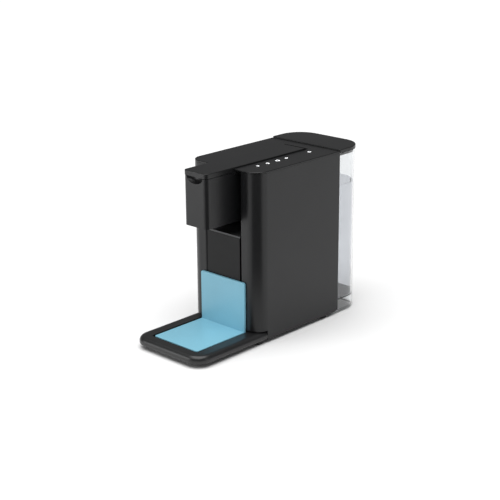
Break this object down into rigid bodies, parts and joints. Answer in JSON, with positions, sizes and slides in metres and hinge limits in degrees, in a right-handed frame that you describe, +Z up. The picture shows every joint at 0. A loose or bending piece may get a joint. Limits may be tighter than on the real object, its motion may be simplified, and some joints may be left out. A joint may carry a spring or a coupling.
{
  "type": "pod coffee machine",
  "caption": "Slim pod coffee machine with a flat lever on top, a narrow brew head, a drip tray with an L-shaped cup stand and a clear lift-off tank behind.",
  "frame": {"origin": "on the table, under the middle of the machine's box", "axes": "+X to the machine's right, -Y towards its front, +Y towards the tank, +Z up"},
  "size_m": [0.13, 0.347, 0.25],
  "materials": {
    "housing_plastic": "fine matte moulded black",
    "inner_plastic": "plain moulded black",
    "tray_plastic": "fine matte moulded black",
    "bin_plastic": "satin moulded black",
    "insert_plastic": "satin light blue",
    "key_plastic": "matte black with a lit white symbol",
    "clear_plastic": "clear smooth tank plastic",
    "valve_plastic": "pale grey",
    "rubber": "black rubber",
    "hose_rubber": "milky silicone rubber",
    "steel": "bright steel",
    "gear_plastic": "natural acetal",
    "cast_metal": "as cast",
    "circuit_board": "green board"
  },
  "bodies": {
    "housing": {"base_plate": "inner_plastic", "base_screws": "steel", "bin_shelf": "inner_plastic", "board_spacers": "steel", "brew_frame": "inner_plastic", "bulkhead": "inner_plastic", "coffee_duct": "inner_plastic", "coffee_spout": "steel", "cord_gland": "rubber", "dock_seal": "rubber", "flow_meter": "inner_plastic", "foot_front_left": "rubber", "foot_front_right": "rubber", "foot_rear_left": "rubber", "foot_rear_right": "rubber", "frame_screws": "steel", "head_cover": "housing_plastic", "injector_gasket": "rubber", "injector_head": "inner_plastic", "inlet_hose": "hose_rubber", "key_board": "circuit_board", "main_board": "circuit_board", "power_module": "inner_plastic", "pressure_hose": "hose_rubber", "pump": "cast_metal", "pump_mount_lower": "rubber", "pump_mount_upper": "rubber", "rear_panel": "inner_plastic", "side_panel_left": "housing_plastic", "side_panel_right": "housing_plastic", "tank_dock": "inner_plastic", "thermoblock": "cast_metal", "thermostat": "steel", "top_cover": "housing_plastic"},
    "lever": {"lever": "housing_plastic", "lever_shaft": "steel", "sector_gear_left": "gear_plastic", "sector_gear_right": "gear_plastic"},
    "clamp": {"pod_clamp": "inner_plastic", "clamp_seal": "rubber", "rack_left": "gear_plastic", "rack_right": "gear_plastic"},
    "tray": {"drip_tray": "tray_plastic", "pod_bin": "bin_plastic"},
    "insert": {"drip_insert": "insert_plastic"},
    "tank": {"water_tank": "clear_plastic", "tank_valve": "valve_plastic"},
    "lid": {"tank_lid": "housing_plastic"},
    "key_large_cup": {"key_large_cup": "key_plastic"},
    "key_medium_cup": {"key_medium_cup": "key_plastic"},
    "key_power": {"key_power": "key_plastic"},
    "key_rinse": {"key_rinse": "key_plastic"},
    "key_small_cup": {"key_small_cup": "key_plastic"}
  },
  "joints": [
    {"name": "lever_hinge", "type": "hinge", "parent": "housing", "child": "lever", "pos_m": [0, 0.085, 0.2405], "axis": [-1, 0, 0], "range_deg": [0, 75]},
    {"name": "clamp_slide", "type": "slide", "parent": "housing", "child": "clamp", "axis": [0, -1, 0], "range_m": [0, 0.00982]},
    {"name": "tray_slide", "type": "slide", "parent": "housing", "child": "tray", "axis": [0, -1, 0], "range_m": [0, 0.15]},
    {"name": "insert_lift", "type": "slide", "parent": "tray", "child": "insert", "axis": [0, -0.7071, 0.7071], "range_m": [0, 0.15]},
    {"name": "tank_lift", "type": "slide", "parent": "housing", "child": "tank", "axis": [0, 0, 1], "range_m": [0, 0.26]},
    {"name": "lid_lift", "type": "slide", "parent": "tank", "child": "lid", "axis": [0, 0, 1], "range_m": [0, 0.05]},
    {"name": "large_cup_key_press", "type": "slide", "parent": "housing", "child": "key_large_cup", "axis": [0, 0, -1], "range_m": [0, 0.0012], "stiffness_N_per_m": 400},
    {"name": "medium_cup_key_press", "type": "slide", "parent": "housing", "child": "key_medium_cup", "axis": [0, 0, -1], "range_m": [0, 0.0012], "stiffness_N_per_m": 400},
    {"name": "power_key_press", "type": "slide", "parent": "housing", "child": "key_power", "axis": [0, 0, -1], "range_m": [0, 0.0012], "stiffness_N_per_m": 400},
    {"name": "rinse_key_press", "type": "slide", "parent": "housing", "child": "key_rinse", "axis": [0, 0, -1], "range_m": [0, 0.0012], "stiffness_N_per_m": 400},
    {"name": "small_cup_key_press", "type": "slide", "parent": "housing", "child": "key_small_cup", "axis": [0, 0, -1], "range_m": [0, 0.0012], "stiffness_N_per_m": 400}
  ],
  "couplings": [
    {"joint": "clamp_slide", "follows": "lever_hinge", "m_per_rad": 0.0075}
  ]
}
